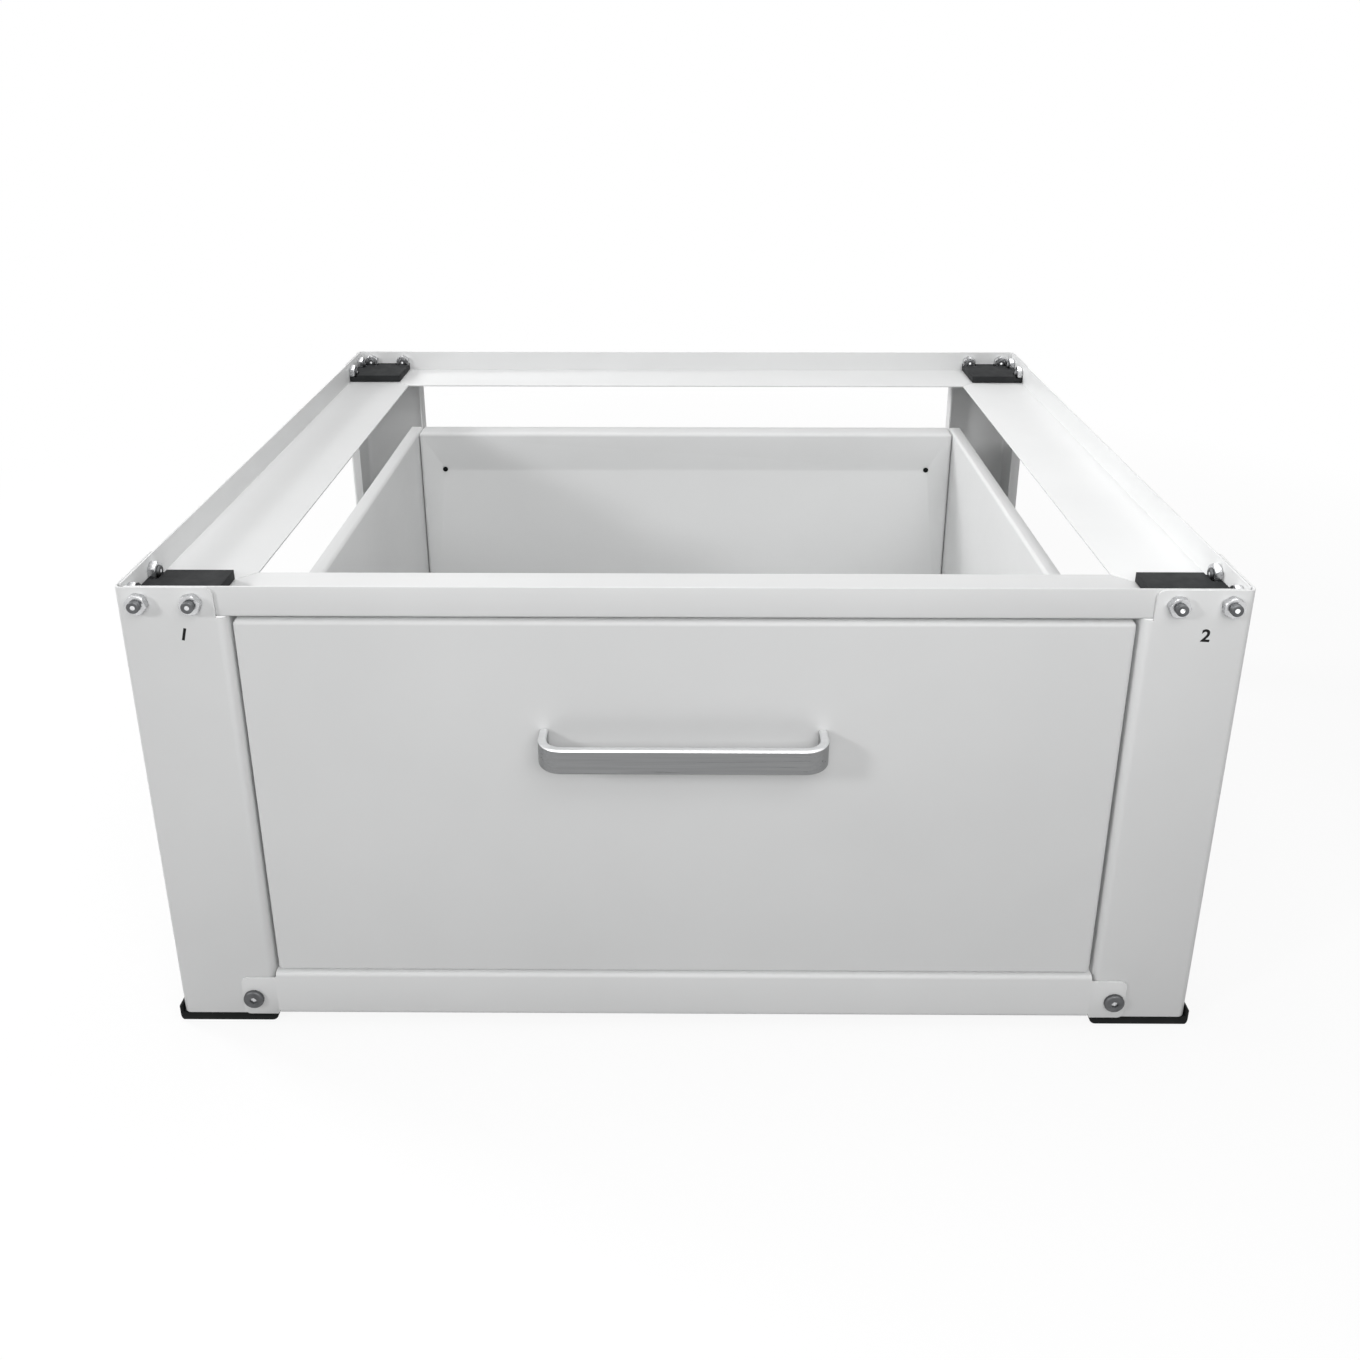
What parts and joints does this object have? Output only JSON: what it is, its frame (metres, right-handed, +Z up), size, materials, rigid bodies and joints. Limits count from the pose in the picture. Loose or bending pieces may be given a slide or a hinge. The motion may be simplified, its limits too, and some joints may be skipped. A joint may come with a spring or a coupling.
{
  "type": "washing machine pedestal with drawer",
  "caption": "Open steel frame that raises a washing machine off the floor, with corner rubber pads and a sheet steel storage drawer that slides out at the front on telescopic slides.",
  "frame": {"origin": "centre of the footprint of the whole object, on the floor", "axes": "+X is the object's right, -Y its front with the drawer front and +Z up"},
  "size_m": [0.6346, 0.5681, 0.3],
  "materials": {
    "frame_steel": "light grey-white powder coat, satin",
    "drawer_steel": "light grey-white powder coat, satin",
    "fastener_zinc": "bright zinc plate",
    "slide_zinc": "rolled and zinc plated",
    "handle_aluminium": "fine brushed, anodised",
    "pad_rubber": "matt charcoal",
    "foot_rubber": "matt black"
  },
  "bodies": {
    "frame": {"bolt_front_left_end_inner": "fastener_zinc", "bolt_front_left_end_outer": "fastener_zinc", "bolt_front_left_side_inner": "fastener_zinc", "bolt_front_left_side_outer": "fastener_zinc", "bolt_front_right_end_inner": "fastener_zinc", "bolt_front_right_end_outer": "fastener_zinc", "bolt_front_right_side_inner": "fastener_zinc", "bolt_front_right_side_outer": "fastener_zinc", "bolt_rear_left_end_inner": "fastener_zinc", "bolt_rear_left_end_outer": "fastener_zinc", "bolt_rear_left_side_inner": "fastener_zinc", "bolt_rear_left_side_outer": "fastener_zinc", "bolt_rear_right_end_inner": "fastener_zinc", "bolt_rear_right_end_outer": "fastener_zinc", "bolt_rear_right_side_inner": "fastener_zinc", "bolt_rear_right_side_outer": "fastener_zinc", "bottom_rail_front": "frame_steel", "bottom_rail_rear": "frame_steel", "bottom_rail_screw_front_left": "fastener_zinc", "bottom_rail_screw_front_right": "fastener_zinc", "bottom_rail_screw_rear_left": "fastener_zinc", "bottom_rail_screw_rear_right": "fastener_zinc", "foot_front_left": "foot_rubber", "foot_front_right": "foot_rubber", "foot_rear_left": "foot_rubber", "foot_rear_right": "foot_rubber", "leg_front_left": "frame_steel", "leg_front_right": "frame_steel", "leg_rear_left": "frame_steel", "leg_rear_right": "frame_steel", "pad_front_left": "pad_rubber", "pad_front_right": "pad_rubber", "pad_rear_left": "pad_rubber", "pad_rear_right": "pad_rubber", "side_bar_left": "frame_steel", "side_bar_right": "frame_steel", "slide_outer_left": "slide_zinc", "slide_outer_right": "slide_zinc", "top_rail_front": "frame_steel", "top_rail_left": "frame_steel", "top_rail_rear": "frame_steel", "top_rail_right": "frame_steel"},
    "left_slide_middle": {"slide_middle_left": "slide_zinc"},
    "right_slide_middle": {"slide_middle_right": "slide_zinc"},
    "drawer": {"drawer_back": "drawer_steel", "drawer_floor": "drawer_steel", "drawer_front": "drawer_steel", "drawer_front_screw_lower_left": "fastener_zinc", "drawer_front_screw_lower_right": "fastener_zinc", "drawer_front_screw_upper_left": "fastener_zinc", "drawer_front_screw_upper_right": "fastener_zinc", "drawer_side_left": "drawer_steel", "drawer_side_right": "drawer_steel", "handle": "handle_aluminium", "handle_screw_left": "fastener_zinc", "handle_screw_right": "fastener_zinc", "slide_inner_left": "slide_zinc", "slide_inner_right": "slide_zinc"}
  },
  "joints": [
    {"name": "drawer_slide", "type": "slide", "parent": "frame", "child": "drawer", "axis": [0, -1, 0], "range_m": [0, 0.4]},
    {"name": "left_middle_slide", "type": "slide", "parent": "frame", "child": "left_slide_middle", "axis": [0, -1, 0], "range_m": [0, 0.2]},
    {"name": "right_middle_slide", "type": "slide", "parent": "frame", "child": "right_slide_middle", "axis": [0, -1, 0], "range_m": [0, 0.2]}
  ],
  "couplings": [
    {"joint": "left_middle_slide", "follows": "drawer_slide", "ratio": 0.5},
    {"joint": "right_middle_slide", "follows": "drawer_slide", "ratio": 0.5}
  ]
}
